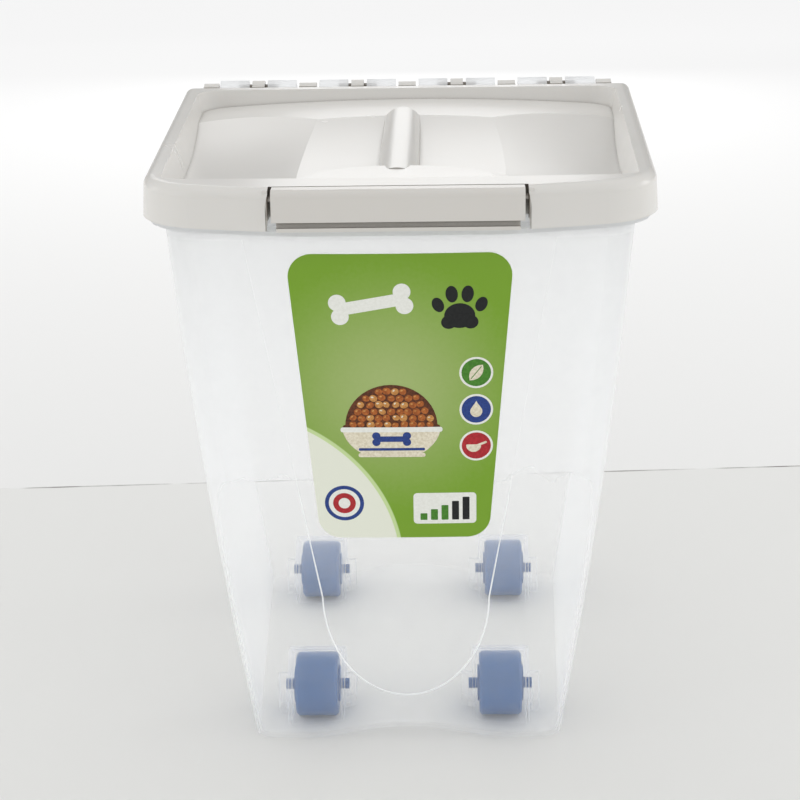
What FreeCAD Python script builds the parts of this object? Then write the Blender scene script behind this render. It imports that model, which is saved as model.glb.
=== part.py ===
"""Wheeled pet food bin: clear tapered bin, hinged lid with a latch, and four wheels.

Frame: +Z up, the front of the bin faces -Y, origin under the middle of the bin on the ground.
All sizes are in millimetres.
"""
import FreeCAD, Part
import math
import os

V = FreeCAD.Vector

# ---------------------------------------------------------------- driving dimensions
# whole bin
LID_TOP_Z = 393.5            # top face of the lid above the ground
LID_BACK_WIDTH = 341.0       # across the back corners of the lid
LID_BACK_Y = 182.5           # back edge of the lid
LID_FRONT_Y = -196.5         # where the bowed front of the lid would reach in the middle
SIDE_FLARE = math.radians(2.45)   # the plan widens towards the back by this angle a side
FRONT_BOW_RADIUS = 430.0     # plan radius of the bowed front
FRONT_CORNER_RADIUS = 46.0   # plan radius of the lid's front corners
BACK_CORNER_RADIUS = 7.0

# lid
SKIRT_HEIGHT = 25.0
SKIRT_WALL = 2.2
SKIRT_FLARE = 1.2            # the skirt's lower edge stands this much further out
LID_EDGE_RADIUS = 6.5        # rounding between the lid's top and its skirt
LID_SHOULDER = 0.5           # upright band between that rounding and the flared skirt
LID_WALL = 2.2
BACK_SKIRT_HEIGHT = 6.0      # the back skirt is short, so that it clears the rim as the lid opens
BACK_SKIRT_CLEARANCE = 1.2   # between the side skirt's end and the lip
FRAME_SIDE = 11.5            # width of the flat frame round the dished panel
FRAME_FRONT = 37.0
FRAME_BACK = 16.0
PANEL_DRAFT = math.tan(math.radians(15.0))
PANEL_FRONT_BOW = 2600.0     # plan radius of the panel's front edge
PANEL_FRONT_CORNER = 9.0
PANEL_BACK_CORNER = 18.0
SHELF_DEPTH = 8.0            # depth of the back shelf under the frame, in the middle
SHELF_CROWN_RADIUS = 2100.0  # the shelf is crowned from side to side
SHELF_FRONT_Y = 95.0         # front edge of the back shelf
VALLEY_DEPTH = 16.0          # deepest line of the middle valley under the frame
VALLEY_Y = -30.0
DISH_HALF_X = 116.0          # side dishes: half widths of their ellipses in plan
DISH_HALF_Y = 142.0
DISH_X = 160.0
DISH_Y = -30.0
DISH_EDGE_DEPTH = 12.5       # depth under the frame where those ellipses are measured
DISH_DEPTH = 9.5             # how much deeper a dish's middle is
DISH_PATCH = 1.5             # the bowl's surface reaches this many of those half widths
RIB_X = -2.0                 # middle of the grip rib
RIB_WIDTH = 25.0
RIB_CROWN = 6.5              # height of its arched crown
RIB_TOP_DEPTH = 2.6          # crest of the rib under the frame
RIB_BACK_Y = 99.0
RIB_FRONT_Y = -117.0
RIB_END_RADIUS = 25.0        # plan radius of its ends
RIB_DRAFT = math.tan(math.radians(6.0))
PLATEAU_HALF_X = 58.0        # raised pad between the rib and the front of the frame
PLATEAU_BACK_Y = -99.0
PLATEAU_DEPTH = 5.0          # the pad falls from the frame to this depth at its rear edge
PANEL_AIR_DEPTH = 45.0       # the cutting block for the panel reaches this far down

# bin
BIN_WALL = 2.0
FLANGE_THICKNESS = 3.0
FLANGE_INSET = 2.9           # rim flange inside the lid's outer edge
FLANGE_GAP = 0.5             # between the lid's skirt and the flange
FLANGE_FLAT_BACK = 4.9       # its flat front under the latch lies this far behind the latch's face
WALL_INSET_SIDE = 13.0       # top of the bin's wall inside the lid's outer edge
WALL_INSET_FRONT = 19.0
WALL_INSET_BACK = 14.0
WALL_TOP_BOW = 900.0
WALL_TOP_CORNER = 20.0
WALL_BULGE = 4.0             # the sides stand out this much at half height
WALL_BANDS = 4               # the bulged wall is made of this many straight bands
BASE_Z = 2.0                 # underside of the bin
BASE_HALF_BACK = 114.7       # half width of the base at its back
BASE_BACK_Y = 137.0
BASE_FRONT_Y = -133.0
BASE_BOW = 2500.0
BASE_CORNER = 14.0
WALL_BACK_CORNER = 16.0
LIP_WALL = 2.0               # upright lip above the flange
LIP_INSET_SIDE = 4.6
LIP_INSET_FRONT = 20.4
LIP_INSET_BACK = 5.2
LIP_CORNER = 23.0            # plan radius of its front corners
ARCH_HEIGHT = 9.5            # arched tunnel along the middle of the floor
ARCH_HALF = 75.0
FLOOR_THICKNESS = 2.4
PANEL_STEP = 0.8             # depth of the U-shaped panel on the front wall
PANEL_STRAIGHT_Z = 112.0     # the panel's round lower end starts here
PANEL_LOW_Z = 37.5
PANEL_HALF_LOW = 54.0        # half width there
PANEL_LEAN = 0.164           # sideways lean of the panel's edges, per mm of height
PANEL_DROP = 6.0             # the panel ends this far under the flange
PANEL_REACH = 12.0

# seal
SEAL_HEIGHT = 3.0
SEAL_GAP = 0.3
SEAL_OVERHANG = 0.3          # outside the lip

# front label
LABEL_TOP_GAP = 14.5         # its upper edge lies this far under the rim flange
LABEL_BOTTOM_Z = 157.0
LABEL_HALF_TOP = 69.0
LABEL_HALF_BOTTOM = 54.0
LABEL_CORNER = 15.0
LABEL_THICKNESS = 0.3
LABEL_GAP = 0.15             # the adhesive between the sheet and the wall

# hinge
HINGE_RADIUS = 5.5
HINGE_DROP = 2.0             # hinge axis under the lid's top
HINGE_Y = LID_BACK_Y + 6.2
HINGE_PITCH = 76.4
HINGE_GROUPS = 4
LUG_WIDTH = 9.6
LUG_GAP = 2.3
LUG_INSET = 0.3              # a lug's eye is this much smaller in radius than a knuckle
LUG_ROOT_RISE = 1.5          # underside of a lug's root above the knuckle's lowest point
KNUCKLE_WIDTH = 22.4
PIN_RADIUS = 2.5
PIN_LENGTH = 8.0
PIN_CLEARANCE = 0.05
BORE_EXTRA = 0.6
SPACER_WIDTH = 13.4
SPACER_END_WIDTH = 11.4      # of the two outermost spacers
SPACER_RADIUS = 3.7
SPACER_FORWARD = 1.5         # the spacers' round lies this far in front of the hinge axis
SPACER_ROOT = 2.0            # their roots reach this far under the hinge axis
ARM_WALL = 2.6
ARM_ROOF = 1.0               # under the knuckle's round
ARM_FOOT = 2.0               # the arm's foot reaches this far into the flange
ARM_CHAMFER = 4.0

# latch
LATCH_HALF = 74.4
LATCH_SIDE_GAP = 2.2         # between the latch and the window in the lid's skirt
WINDOW_ROUNDING = 1.5        # on the skirt's upright edges beside the latch
LATCH_FACE_Y = -194.2
LATCH_AXIS_BACK = 8.0        # latch axis behind its face
LATCH_AXIS_DROP = 6.5        # latch axis under the lid's top
LATCH_DROP = 19.0            # lower edge of the face under the lid's top
LATCH_WALL = 2.2
LATCH_EDGE_RADIUS = 4.5
LATCH_HOOK_DROP = 25.0       # lower edge of the hook leg
LATCH_LIP = 2.2              # height of the pull lip at the leg's lower edge
LATCH_LIP_INSET = 1.4        # the pull lip stands this far behind the face
LATCH_LEG = 2.0              # thickness of the leg, which hangs from the latch axis
LATCH_LEG_BEND = 10.0        # the leg leans forward from this far under the latch axis
LATCH_FOOT_GAP = 0.3         # its foot ends this far in front of the rim flange
LATCH_LEG_INSET = 2.6        # the leg is narrower than the face by this much a side
LATCH_TOP_GAP = 0.2          # the latch's top lies this far under the lid's top
LATCH_TROUGH = 8.2           # clear radius round the latch axis
LATCH_SWING_GAP = 0.3        # between the trough and the latch's rounded back
LATCH_TOP_REACH = 4.6        # the latch's top reaches this far behind its axis
LATCH_EAR_RADIUS = 4.0       # solid round each stub pin
LATCH_EAR_DEPTH = 2.0        # the pins start this far inside the latch's ends
HOUSING_WALL = 1.6
HOUSING_MOUTH = 5.2          # the lid's top edge lies this far behind the latch axis
LATCH_PIN_RADIUS = 1.8
LATCH_PIN_BITE = 2.0         # the stub pins reach this far into the cheeks
CHEEK_WALL = 3.0
CHEEK_REACH = 2.0            # the cheeks reach this far in front of the latch axis
PIN_END_GAP = 0.3

# wheels
WHEEL_RADIUS = 22.0
WHEEL_HALF_TREAD = 14.4
HUB_RADIUS = 12.5
HUB_HALF = 15.7
STUB_RADIUS = 3.7
STUB_HALF = 21.8
TREAD_CHAMFER = 1.7
FRONT_WHEEL_X = 63.3
FRONT_WHEEL_Y = -90.8
BACK_WHEEL_Y = 106.8
WHEEL_CLEARANCE = 2.0        # between the tread and its well
WELL_SIDE_GAP = 1.6          # between the hub and the well's side walls
WELL_WALL = 2.0
STUB_CLEARANCE = 0.05
POCKET_END_GAP = 0.6
POCKET_WALL = 4.5            # round the axle pockets
SNAP_THROAT = 0.5            # the pocket's mouth is narrower than the stub by this much a side
SNAP_HEIGHT = 3.0            # height of that mouth
SNAP_LEVEL = 0.75            # its upper edge under the axle, as a share of the bore's radius
WELL_FOOT = 10.0             # the cutting blocks of the wells start this far under the base

FAR = 2 * LID_TOP_Z           # reach of cutting blocks, past the whole bin


# ---------------------------------------------------------------- plan outlines
class Plan:
    """Rounded plan outline: straight flared sides, straight back, bowed front."""

    def __init__(self, half_back, y_back, y_front, bow, r_front, r_back):
        self.half_back, self.y_back, self.y_front = half_back, y_back, y_front
        self.bow, self.r_front, self.r_back = bow, r_front, r_back

    def inset(self, side, front=None, back=None, bow=None, r_front=None, r_back=None):
        """The outline moved inwards; a negative inset moves it outwards."""
        front = side if front is None else front
        back = side if back is None else back
        y_back = self.y_back - back
        half = self.half_back - back * math.tan(SIDE_FLARE) - side / math.cos(SIDE_FLARE)
        return Plan(half, y_back, self.y_front + front,
                    self.bow - front if bow is None else bow,
                    max(self.r_front - side, 1.0) if r_front is None else r_front,
                    max(self.r_back - side, 1.0) if r_back is None else r_back)

    def wire(self, z):
        """Closed wire of four straight or bowed runs and four corner arcs."""
        lean = SIDE_FLARE
        out = V(math.cos(lean), -math.sin(lean), 0)      # outward normal of the right side
        along = V(math.sin(lean), math.cos(lean), 0)     # backwards along the right side
        # front corner: a circle inside both the side line and the bow
        start = V(self.half_back, self.y_back, 0) - out * self.r_front
        bow_centre = V(0, self.y_front + self.bow, 0)
        rel = start - bow_centre
        b = rel.dot(along)
        c = rel.dot(rel) - (self.bow - self.r_front) ** 2
        front_c = start + along * (-b - math.sqrt(b * b - c))
        on_side = front_c + out * self.r_front
        to_bow = (front_c - bow_centre).normalize()
        on_bow = front_c + to_bow * self.r_front
        mid_front = front_c + (out + to_bow).normalize() * self.r_front
        # back corner: between the side line and the straight back
        inner = V(self.half_back, self.y_back, 0) - out * self.r_back
        back_c = inner - along * ((inner.y - (self.y_back - self.r_back)) / along.y)
        on_side_b = back_c + out * self.r_back
        on_back = back_c + V(0, self.r_back, 0)
        mid_back = back_c + (out + V(0, 1, 0)).normalize() * self.r_back

        def at(p, side=1):
            return V(side * p.x, p.y, z)

        edges = [
            Part.LineSegment(at(on_back, -1), at(on_back)).toShape(),
            Part.Arc(at(on_back), at(mid_back), at(on_side_b)).toShape(),
            Part.LineSegment(at(on_side_b), at(on_side)).toShape(),
            Part.Arc(at(on_side), at(mid_front), at(on_bow)).toShape(),
            Part.Arc(at(on_bow), V(0, self.y_front, z), at(on_bow, -1)).toShape(),
            Part.Arc(at(on_bow, -1), at(mid_front, -1), at(on_side, -1)).toShape(),
            Part.LineSegment(at(on_side, -1), at(on_side_b, -1)).toShape(),
            Part.Arc(at(on_side_b, -1), at(mid_back, -1), at(on_back, -1)).toShape(),
        ]
        return Part.Wire(edges)

    def prism(self, z0, z1):
        return Part.Face(self.wire(z0)).extrude(V(0, 0, z1 - z0))


def loft(*levels):
    """Solid with straight sides between (plan, z) levels."""
    return Part.makeLoft([plan.wire(z) for plan, z in levels], True, True)


def box(x0, x1, y0, y1, z0, z1):
    return Part.makeBox(x1 - x0, y1 - y0, z1 - z0, V(x0, y0, z0))


def cylinder_x(radius, x0, x1, y, z):
    return Part.makeCylinder(radius, x1 - x0, V(x0, y, z), V(1, 0, 0))


def cylinder_y(radius, y0, y1, x, z):
    return Part.makeCylinder(radius, y1 - y0, V(x, y0, z), V(0, 1, 0))


def mirror_x(shape):
    return shape.mirror(V(0, 0, 0), V(1, 0, 0))


def extrude_x(points, x0, x1):
    """Prism along X of a closed outline of (y, z) points."""
    ring = [V(x0, y, z) for y, z in points]
    return Part.Face(Part.makePolygon(ring + ring[:1])).extrude(V(x1 - x0, 0, 0))


def fuse(first, *others):
    return first.fuse(list(others)).removeSplitter() if others else first


LID_PLAN = Plan(LID_BACK_WIDTH / 2, LID_BACK_Y, LID_FRONT_Y, FRONT_BOW_RADIUS,
                FRONT_CORNER_RADIUS, BACK_CORNER_RADIUS)
SKIRT_Z = LID_TOP_Z - SKIRT_HEIGHT
FLANGE_TOP_Z = SKIRT_Z - FLANGE_GAP
FLANGE_LOW_Z = FLANGE_TOP_Z - FLANGE_THICKNESS
LABEL_TOP_Z = FLANGE_LOW_Z - LABEL_TOP_GAP
LIP_TOP_Z = LID_TOP_Z - LID_WALL - SEAL_HEIGHT - SEAL_GAP
LATCH_WINDOW_HALF = LATCH_HALF + LATCH_SIDE_GAP
LATCH_AXIS_Y = LATCH_FACE_Y + LATCH_AXIS_BACK
LATCH_AXIS_Z = LID_TOP_Z - LATCH_AXIS_DROP
HINGE_Z = LID_TOP_Z - HINGE_DROP
GROUP_CENTRES = [HINGE_PITCH * (i - (HINGE_GROUPS - 1) / 2) for i in range(HINGE_GROUPS)]


# ---------------------------------------------------------------- bin
def wall_solid(grow, front_shift=0.0):
    """Tapered block inside the bin's wall surface, moved outwards by grow."""
    top = LID_PLAN.inset(WALL_INSET_SIDE - grow, WALL_INSET_FRONT - grow, WALL_INSET_BACK - grow,
                         WALL_TOP_BOW + grow, WALL_TOP_CORNER + grow, WALL_BACK_CORNER + grow)
    base = Plan(BASE_HALF_BACK, BASE_BACK_Y, BASE_FRONT_Y, BASE_BOW, BASE_CORNER, WALL_BACK_CORNER)
    base = base.inset(-grow, bow=BASE_BOW + grow, r_front=BASE_CORNER + grow,
                      r_back=WALL_BACK_CORNER + grow)

    def level(t):
        def mix(a, b):
            return a + (b - a) * t
        bulge = 4 * WALL_BULGE * t * (1 - t)
        plan = Plan(mix(base.half_back, top.half_back) + bulge, mix(base.y_back, top.y_back),
                    mix(base.y_front, top.y_front) + front_shift,
                    1 / mix(1 / base.bow, 1 / top.bow), mix(base.r_front, top.r_front),
                    mix(base.r_back, top.r_back))
        return plan, mix(BASE_Z, FLANGE_TOP_Z)
    return loft(*[level(i / WALL_BANDS) for i in range(WALL_BANDS + 1)])


def arch_profile(offset):
    """Tunnel under the floor: two fair arcs a side, raised by offset."""
    radius = (ARCH_HALF ** 2 + ARCH_HEIGHT ** 2) / (4 * ARCH_HEIGHT)
    low_r, top_r = radius - offset, radius + offset
    half_turn = math.asin(ARCH_HALF / 2 / radius)
    z0 = BASE_Z + offset
    z_top = BASE_Z + ARCH_HEIGHT + offset

    def low(turn):
        return (ARCH_HALF - low_r * math.sin(turn), z0 + low_r * (1 - math.cos(turn)))

    def high(turn):
        return (top_r * math.sin(turn), z_top - top_r * (1 - math.cos(turn)))

    def at(p, side=1):
        return V(side * p[0], -FAR, p[1])

    foot, mid_low, joint, mid_high = low(0), low(half_turn / 2), low(half_turn), high(half_turn / 2)
    crown = V(0, -FAR, z_top)
    edges = [Part.Arc(at(foot), at(mid_low), at(joint)).toShape(),
             Part.Arc(at(joint), at(mid_high), crown).toShape(),
             Part.Arc(crown, at(mid_high, -1), at(joint, -1)).toShape(),
             Part.Arc(at(joint, -1), at(mid_low, -1), at(foot, -1)).toShape()]
    low_z = BASE_Z - WELL_FOOT
    edge_z = [V(-ARCH_HALF, -FAR, z0), V(-ARCH_HALF, -FAR, low_z), V(ARCH_HALF, -FAR, low_z),
              V(ARCH_HALF, -FAR, z0)]
    edges += [Part.LineSegment(a, b).toShape() for a, b in zip(edge_z, edge_z[1:])]
    return Part.Face(Part.Wire(Part.__sortEdges__(edges))).extrude(V(0, 2 * FAR, 0))


def wheel_places():
    """(name, x, y) of each wheel's centre."""
    back_x = FRONT_WHEEL_X + (BACK_WHEEL_Y - FRONT_WHEEL_Y) * math.tan(SIDE_FLARE)
    places = []
    for row, x, y in (("front", FRONT_WHEEL_X, FRONT_WHEEL_Y), ("back", back_x, BACK_WHEEL_Y)):
        places.append(("wheel_%s_left" % row, -x, y))
        places.append(("wheel_%s_right" % row, x, y))
    return places


def arched_block(radius, half_x, x, y, z0):
    """Block under a half-round top, centred on a wheel's axle."""
    block = box(x - half_x, x + half_x, y - radius, y + radius, z0, WHEEL_RADIUS)
    return block.fuse(cylinder_x(radius, x - half_x, x + half_x, y, WHEEL_RADIUS)).removeSplitter()


def well(x, y, grow, z0):
    """Room for one wheel, its hub and its stub axles, grown outwards by grow."""
    room = arched_block(WHEEL_RADIUS + WHEEL_CLEARANCE + grow, HUB_HALF + WELL_SIDE_GAP + grow,
                        x, y, z0)
    stub = STUB_RADIUS + STUB_CLEARANCE
    if grow:
        pocket = arched_block(stub + POCKET_WALL, STUB_HALF + POCKET_END_GAP + POCKET_WALL,
                              x, y, z0)
    else:
        pocket = arched_block(stub, STUB_HALF + POCKET_END_GAP, x, y, z0)
        half_x = STUB_HALF + POCKET_END_GAP
        for side in (-1, 1):
            z1 = WHEEL_RADIUS - stub * SNAP_LEVEL
            y0 = y + side * (STUB_RADIUS - SNAP_THROAT)
            y1 = y + side * 2 * stub
            pocket = pocket.cut(box(x - half_x, x + half_x, min(y0, y1), max(y0, y1),
                                    z1 - SNAP_HEIGHT, z1))
    return room.fuse(pocket).removeSplitter()


def front_panel(grow):
    """U-shaped prism through the front wall: leaning edges and a round lower end."""
    top_z = FLANGE_LOW_Z - PANEL_DROP
    half_low = PANEL_HALF_LOW + grow
    half_top = half_low + PANEL_LEAN * (top_z - PANEL_STRAIGHT_Z)
    y0 = -FAR
    low = PANEL_LOW_Z - grow
    ellipse = Part.Ellipse(V(0, y0, low), V(half_low, y0, PANEL_STRAIGHT_Z),
                           V(0, y0, PANEL_STRAIGHT_Z))
    lower = Part.Face(Part.Wire(ellipse.toShape())).extrude(V(0, FAR, 0))
    ring = [V(-half_low, y0, PANEL_STRAIGHT_Z), V(half_low, y0, PANEL_STRAIGHT_Z),
            V(half_top, y0, top_z + grow), V(-half_top, y0, top_z + grow)]
    upper = Part.Face(Part.makePolygon(ring + ring[:1])).extrude(V(0, FAR, 0))
    return lower.fuse(upper).removeSplitter()


def hinge_arm(centre):
    """One bin knuckle on a ribbed arm that rises from the rim flange."""
    x0, x1 = centre - KNUCKLE_WIDTH / 2, centre + KNUCKLE_WIDTH / 2
    front, back = HINGE_Y - HINGE_RADIUS, HINGE_Y + HINGE_RADIUS
    foot_y = LID_PLAN.y_back - FLANGE_INSET - ARM_FOOT
    outline = [(back, HINGE_Z), (back, FLANGE_LOW_Z + ARM_CHAMFER),
               (back - ARM_CHAMFER, FLANGE_LOW_Z), (foot_y, FLANGE_LOW_Z),
               (foot_y, FLANGE_TOP_Z), (front, FLANGE_TOP_Z), (front, HINGE_Z)]
    points = [V(x0, y, z) for y, z in outline]
    edges = [Part.LineSegment(a, b).toShape() for a, b in zip(points, points[1:])]
    crown = V(x0, HINGE_Y, HINGE_Z + HINGE_RADIUS)
    edges.append(Part.Arc(points[-1], crown, points[0]).toShape())
    arm = Part.Face(Part.Wire(edges)).extrude(V(x1 - x0, 0, 0))
    pocket = box(x0 + ARM_WALL, x1 - ARM_WALL, front - 1.0, back - ARM_WALL,
                 FLANGE_TOP_Z, HINGE_Z - HINGE_RADIUS - ARM_ROOF)
    return arm.cut(pocket)


def make_bin():
    outer = wall_solid(0.0)
    cavity = wall_solid(-BIN_WALL).cut(box(-FAR, FAR, -FAR, FAR, 0, BASE_Z + FLOOR_THICKNESS))
    # recessed U panel: the wall steps in with the same thickness
    front_half = box(-FAR, FAR, -FAR, BASE_FRONT_Y + PANEL_REACH, 0, FAR)
    for solid_grow, panel_grow in ((0.0, 0.0), (-BIN_WALL, BIN_WALL / 2)):
        stepped = wall_solid(solid_grow, front_shift=PANEL_STEP)
        step = front_panel(panel_grow).common(front_half).cut(stepped)
        if panel_grow:
            cavity = cavity.cut(step)
        else:
            outer = outer.cut(step)
    # floor: arched tunnel and wheel wells
    cavity = cavity.cut(arch_profile(FLOOR_THICKNESS))
    places = wheel_places()
    cavity = cavity.cut([well(x, y, WELL_WALL, BASE_Z - WELL_FOOT) for _, x, y in places])
    outer = outer.cut(arch_profile(0.0))
    outer = outer.cut([well(x, y, 0.0, BASE_Z - WELL_FOOT) for _, x, y in places])
    # rim: flange, and an upright lip on it
    flange = LID_PLAN.inset(FLANGE_INSET).prism(FLANGE_LOW_Z, FLANGE_TOP_Z)
    lip = lip_plan().prism(FLANGE_LOW_Z, LIP_TOP_Z)
    mouth = lip_plan().inset(LIP_WALL).prism(FLANGE_TOP_Z, LIP_TOP_Z + 1.0)
    front_flat = box(-LATCH_WINDOW_HALF, LATCH_WINDOW_HALF, -FAR, 
                     LATCH_FACE_Y + FLANGE_FLAT_BACK, FLANGE_LOW_Z - 1.0, FLANGE_TOP_Z + 1.0)
    flange = flange.cut(front_flat)
    offset = LUG_WIDTH / 2 + LUG_GAP + KNUCKLE_WIDTH / 2
    arms = [hinge_arm(centre + side * offset) for centre in GROUP_CENTRES for side in (-1, 1)]
    body = fuse(outer, flange, lip, *arms)
    body = body.cut([cavity, mouth])
    bores = [cylinder_x(PIN_RADIUS + PIN_CLEARANCE, centre - LUG_WIDTH / 2 - LUG_GAP - PIN_LENGTH,
                        centre + LUG_WIDTH / 2 + LUG_GAP + PIN_LENGTH, HINGE_Y, HINGE_Z)
             for centre in GROUP_CENTRES]
    return body.cut(bores).removeSplitter()


# ---------------------------------------------------------------- lid
def panel_air(grow):
    """Open space above the lid's dished panel, grown outwards by grow."""
    top_z = LID_TOP_Z + 1.0
    low_z = LID_TOP_Z - PANEL_AIR_DEPTH
    mouth = LID_PLAN.inset(FRAME_SIDE, FRAME_FRONT, FRAME_BACK, PANEL_FRONT_BOW,
                           PANEL_FRONT_CORNER, PANEL_BACK_CORNER)

    def level(z):
        drop = LID_TOP_Z - z
        return mouth.inset(drop * PANEL_DRAFT - grow, bow=PANEL_FRONT_BOW,
                           r_front=PANEL_FRONT_CORNER + grow, r_back=PANEL_BACK_CORNER + grow)
    walls = loft((level(low_z), low_z), (level(top_z), top_z))
    # floor surfaces: crowned shelf, middle valley, two side dishes
    shelf = box(-FAR, FAR, -FAR, FAR, low_z, top_z).cut(
        cylinder_y(SHELF_CROWN_RADIUS - grow, -FAR, FAR, 0.0,
                   LID_TOP_Z - SHELF_DEPTH - SHELF_CROWN_RADIUS))
    reach = SHELF_FRONT_Y - VALLEY_Y
    fall = VALLEY_DEPTH - SHELF_DEPTH
    valley_r = (reach ** 2 + fall ** 2) / (2 * fall)
    valley = cylinder_x(valley_r + grow, -FAR, FAR, VALLEY_Y, LID_TOP_Z - VALLEY_DEPTH + valley_r)
    dishes = [dish_air(side, grow) for side in (-1, 1)]
    floor_air = shelf.fuse([valley] + dishes)
    air = walls.common(floor_air)
    return air.cut([front_pad(mouth.y_front, grow, low_z), grip_rib(grow, low_z)])


def dish_air(side, grow):
    """Room above one side dish: a parabolic bowl whose outline is an ellipse at its edge depth."""
    reach = DISH_PATCH
    bottom, rise = -DISH_DEPTH, DISH_DEPTH * reach ** 2
    bowl = Part.BezierSurface()
    bowl.increase(2, 2)
    for i, u in enumerate((-1, 0, 1)):
        for j, v in enumerate((-1, 0, 1)):
            lift = (1 if u else -1) + (1 if v else -1)
            bowl.setPole(i + 1, j + 1, V(u * reach * DISH_HALF_X, v * reach * DISH_HALF_Y,
                                         bottom + rise * lift))
    room = bowl.toShape().extrude(V(0, 0, 2 * PANEL_AIR_DEPTH))
    room.translate(V(side * DISH_X, DISH_Y, LID_TOP_Z - DISH_EDGE_DEPTH - grow))
    return room


def front_pad(y_front, grow, low_z):
    """Raised pad with a round, drafted rear edge; its top falls backwards from the frame."""
    length = PLATEAU_BACK_Y - y_front
    radius = (PLATEAU_HALF_X ** 2 + length ** 2) / (2 * length)
    slope = PLATEAU_DEPTH / length
    height = LID_TOP_Z - PLATEAU_DEPTH - low_z

    def top(y):
        return LID_TOP_Z - (y - y_front) * slope - grow
    y0, y1 = y_front - radius, y_front + 2 * length
    block = extrude_x([(y0, top(y0)), (y1, top(y1)), (y1, low_z), (y0, low_z)], -FAR, FAR)
    low_r = radius + height * PANEL_DRAFT - grow
    spread = (top(y0) - low_z) * PANEL_DRAFT
    cone = Part.makeCone(low_r, low_r - spread, top(y0) - low_z,
                         V(0, PLATEAU_BACK_Y - radius, low_z))
    return block.common(cone)


def grip_rib(grow, low_z):
    """Rib along the middle of the panel: arched crown, drafted sides, rounded ends."""
    half = RIB_WIDTH / 2 - grow
    crown = RIB_CROWN - grow
    z = LID_TOP_Z - RIB_TOP_DEPTH - RIB_CROWN
    foot = half + (z - low_z) * RIB_DRAFT
    y0, y1 = RIB_FRONT_Y + grow, RIB_BACK_Y - grow
    ring = [V(-half, y0, 0), V(-foot, y0, low_z - z), V(foot, y0, low_z - z), V(half, y0, 0)]
    edges = [Part.Arc(ring[-1], V(0, y0, crown), ring[0]).toShape()]
    edges += [Part.LineSegment(a, b).toShape() for a, b in zip(ring, ring[1:])]
    rib = Part.Face(Part.Wire(Part.__sortEdges__(edges))).extrude(V(0, y1 - y0, 0))
    sag = RIB_END_RADIUS - math.sqrt(RIB_END_RADIUS ** 2 - foot ** 2)
    left, right = V(-foot, y0 + sag, low_z - z), V(foot, y0 + sag, low_z - z)
    run = V(0, y1 - y0 - 2 * sag, 0)
    outline = [Part.Arc(left, V(0, y0, low_z - z), right).toShape(),
               Part.LineSegment(right, right + run).toShape(),
               Part.Arc(right + run, V(0, y1, low_z - z), left + run).toShape(),
               Part.LineSegment(left + run, left).toShape()]
    rib = rib.common(Part.Face(Part.Wire(outline)).extrude(V(0, 0, LID_TOP_Z - low_z)))
    rib.translate(V(RIB_X, 0, z))
    return rib


def lid_lug(centre):
    """Hinge lug on the lid's back edge, with a stub pin on each side."""
    half = LUG_WIDTH / 2
    eye = cylinder_x(HINGE_RADIUS - LUG_INSET, centre - half, centre + half, HINGE_Y, HINGE_Z)
    root = box(centre - half, centre + half, LID_BACK_Y - SKIRT_WALL, HINGE_Y,
               HINGE_Z - HINGE_RADIUS + LUG_ROOT_RISE, LID_TOP_Z)
    reach = half + LUG_GAP + PIN_LENGTH - BORE_EXTRA
    pins = cylinder_x(PIN_RADIUS, centre - reach, centre + reach, HINGE_Y, HINGE_Z)
    return fuse(eye, root, pins)


def lid_spacer(x0, x1):
    """Low rounded block on the lid's back edge between two hinge groups."""
    y = HINGE_Y - SPACER_FORWARD
    bar = cylinder_x(SPACER_RADIUS, x0, x1, y, HINGE_Z)
    root = box(x0, x1, LID_BACK_Y - SKIRT_WALL, y, HINGE_Z - SPACER_ROOT, LID_TOP_Z)
    return fuse(bar, root)


def spacer_spans():
    half = SPACER_WIDTH / 2
    middles = [(a + b) / 2 for a, b in zip(GROUP_CENTRES, GROUP_CENTRES[1:])]
    spans = [(m - half, m + half) for m in middles]
    end = GROUP_CENTRES[-1] + LUG_WIDTH / 2 + LUG_GAP + KNUCKLE_WIDTH + LUG_GAP / 2
    spans.append((end, end + SPACER_END_WIDTH))
    spans.append((-end - SPACER_END_WIDTH, -end))
    return spans


def latch_trough():
    """Round room about the latch axis."""
    half = LATCH_WINDOW_HALF
    return cylinder_x(LATCH_TROUGH, -half, half, LATCH_AXIS_Y, LATCH_AXIS_Z)


def latch_bay():
    """Room cut in the lid's front for the latch, down through the skirt."""
    half = LATCH_WINDOW_HALF
    room = box(-half, half, -FAR, LATCH_AXIS_Y, 0, FAR)
    top = box(-half, half, LATCH_AXIS_Y, LATCH_AXIS_Y + HOUSING_MOUTH, LATCH_AXIS_Z, FAR)
    below = box(-half, half, -FAR, LATCH_AXIS_Y + LATCH_TROUGH, 0, LATCH_AXIS_Z)
    return fuse(room, latch_trough(), top, below)


def latch_housing():
    """Wall behind the latch, with cheeks at both ends that carry its pins."""
    y0 = LATCH_AXIS_Y + LATCH_TROUGH
    half = LATCH_WINDOW_HALF + CHEEK_WALL
    low, high = LID_TOP_Z - LATCH_DROP, LID_TOP_Z - LID_WALL / 2
    wall = box(-half, half, y0, y0 + HOUSING_WALL, low, high)
    roof = box(-half, half, LATCH_AXIS_Y, y0, LATCH_AXIS_Z, high).cut(latch_trough())
    cheek = box(LATCH_WINDOW_HALF, half, LATCH_AXIS_Y - CHEEK_REACH, y0 + HOUSING_WALL,
                low, high)
    return fuse(wall, roof, cheek, mirror_x(cheek))


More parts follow.
